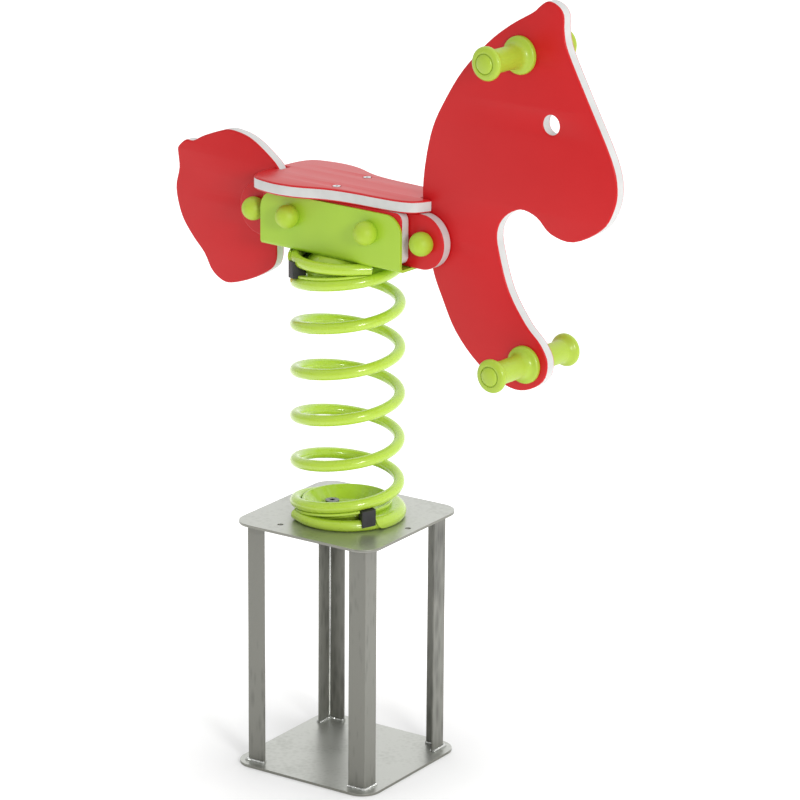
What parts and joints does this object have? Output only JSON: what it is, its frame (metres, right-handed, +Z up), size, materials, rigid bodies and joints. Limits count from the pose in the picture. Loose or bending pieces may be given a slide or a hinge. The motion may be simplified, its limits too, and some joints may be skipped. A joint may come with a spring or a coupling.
{
  "type": "spring rider",
  "caption": "Playground spring rider: flat horse-head and tail panels with a seat, handgrips and footrests on a coil spring above a buried steel anchor frame.",
  "frame": {"origin": "centre of the base plate's underside, on the spring's axis", "axes": "+X the riding direction, +Y to the rider's left, +Z up along the spring"},
  "size_m": [0.8212, 0.2656, 1.22],
  "materials": {
    "galvanised_plate": "hot-dip galvanised, dull",
    "galvanised_angle": "galvanised, dark and dull",
    "lime_steel": "glossy powder coat",
    "zinc_steel": "bright zinc plate",
    "black_rubber": "matt",
    "red_panel": "red skins over a white core, fine grain",
    "lime_plastic": "satin moulded"
  },
  "bodies": {
    "anchor": {"base_plate": "galvanised_plate", "leg_front_right": "galvanised_angle", "leg_front_left": "galvanised_angle", "leg_rear_right": "galvanised_angle", "leg_rear_left": "galvanised_angle", "top_plate": "galvanised_plate", "lower_clamp": "lime_steel", "lower_clamp_bolts": "zinc_steel", "lower_clamp_washers": "zinc_steel", "lower_clamp_nuts": "zinc_steel", "lower_pinch_block": "black_rubber"},
    "spring": {"spring": "lime_steel"},
    "rider": {"upper_clamp": "lime_steel", "upper_clamp_bolts": "zinc_steel", "upper_clamp_washers": "zinc_steel", "upper_clamp_nuts": "zinc_steel", "upper_pinch_block": "black_rubber", "bracket": "lime_steel", "spacer_panel_right": "red_panel", "spacer_panel_left": "red_panel", "beam_panel_right": "red_panel", "beam_panel_left": "red_panel", "head_panel": "red_panel", "tail_panel": "red_panel", "seat": "red_panel", "seat_screws": "zinc_steel", "bracket_bolts": "zinc_steel", "bracket_nuts": "zinc_steel", "beam_bolts": "zinc_steel", "beam_nuts": "zinc_steel", "bracket_caps": "lime_plastic", "beam_caps": "lime_plastic", "handle_bar": "zinc_steel", "handgrip_right": "lime_plastic", "handgrip_left": "lime_plastic", "handle_end_caps": "lime_plastic", "footrest_bar": "zinc_steel", "footrest_right": "lime_plastic", "footrest_left": "lime_plastic", "footrest_end_caps": "lime_plastic"}
  },
  "joints": [
    {"name": "rock_fore_aft", "type": "hinge", "parent": "anchor", "child": "spring", "pos_m": [0, 0, 0.55], "axis": [0, 1, 0], "range_deg": [-20, 20], "stiffness_Nm_per_rad": 530, "springref_deg": -0.92, "deforming": ["spring"]},
    {"name": "rock_sideways", "type": "hinge", "parent": "spring", "child": "rider", "pos_m": [0, 0, 0.635], "axis": [1, 0, 0], "range_deg": [-15, 15], "stiffness_Nm_per_rad": 530, "deforming": ["spring"]}
  ]
}
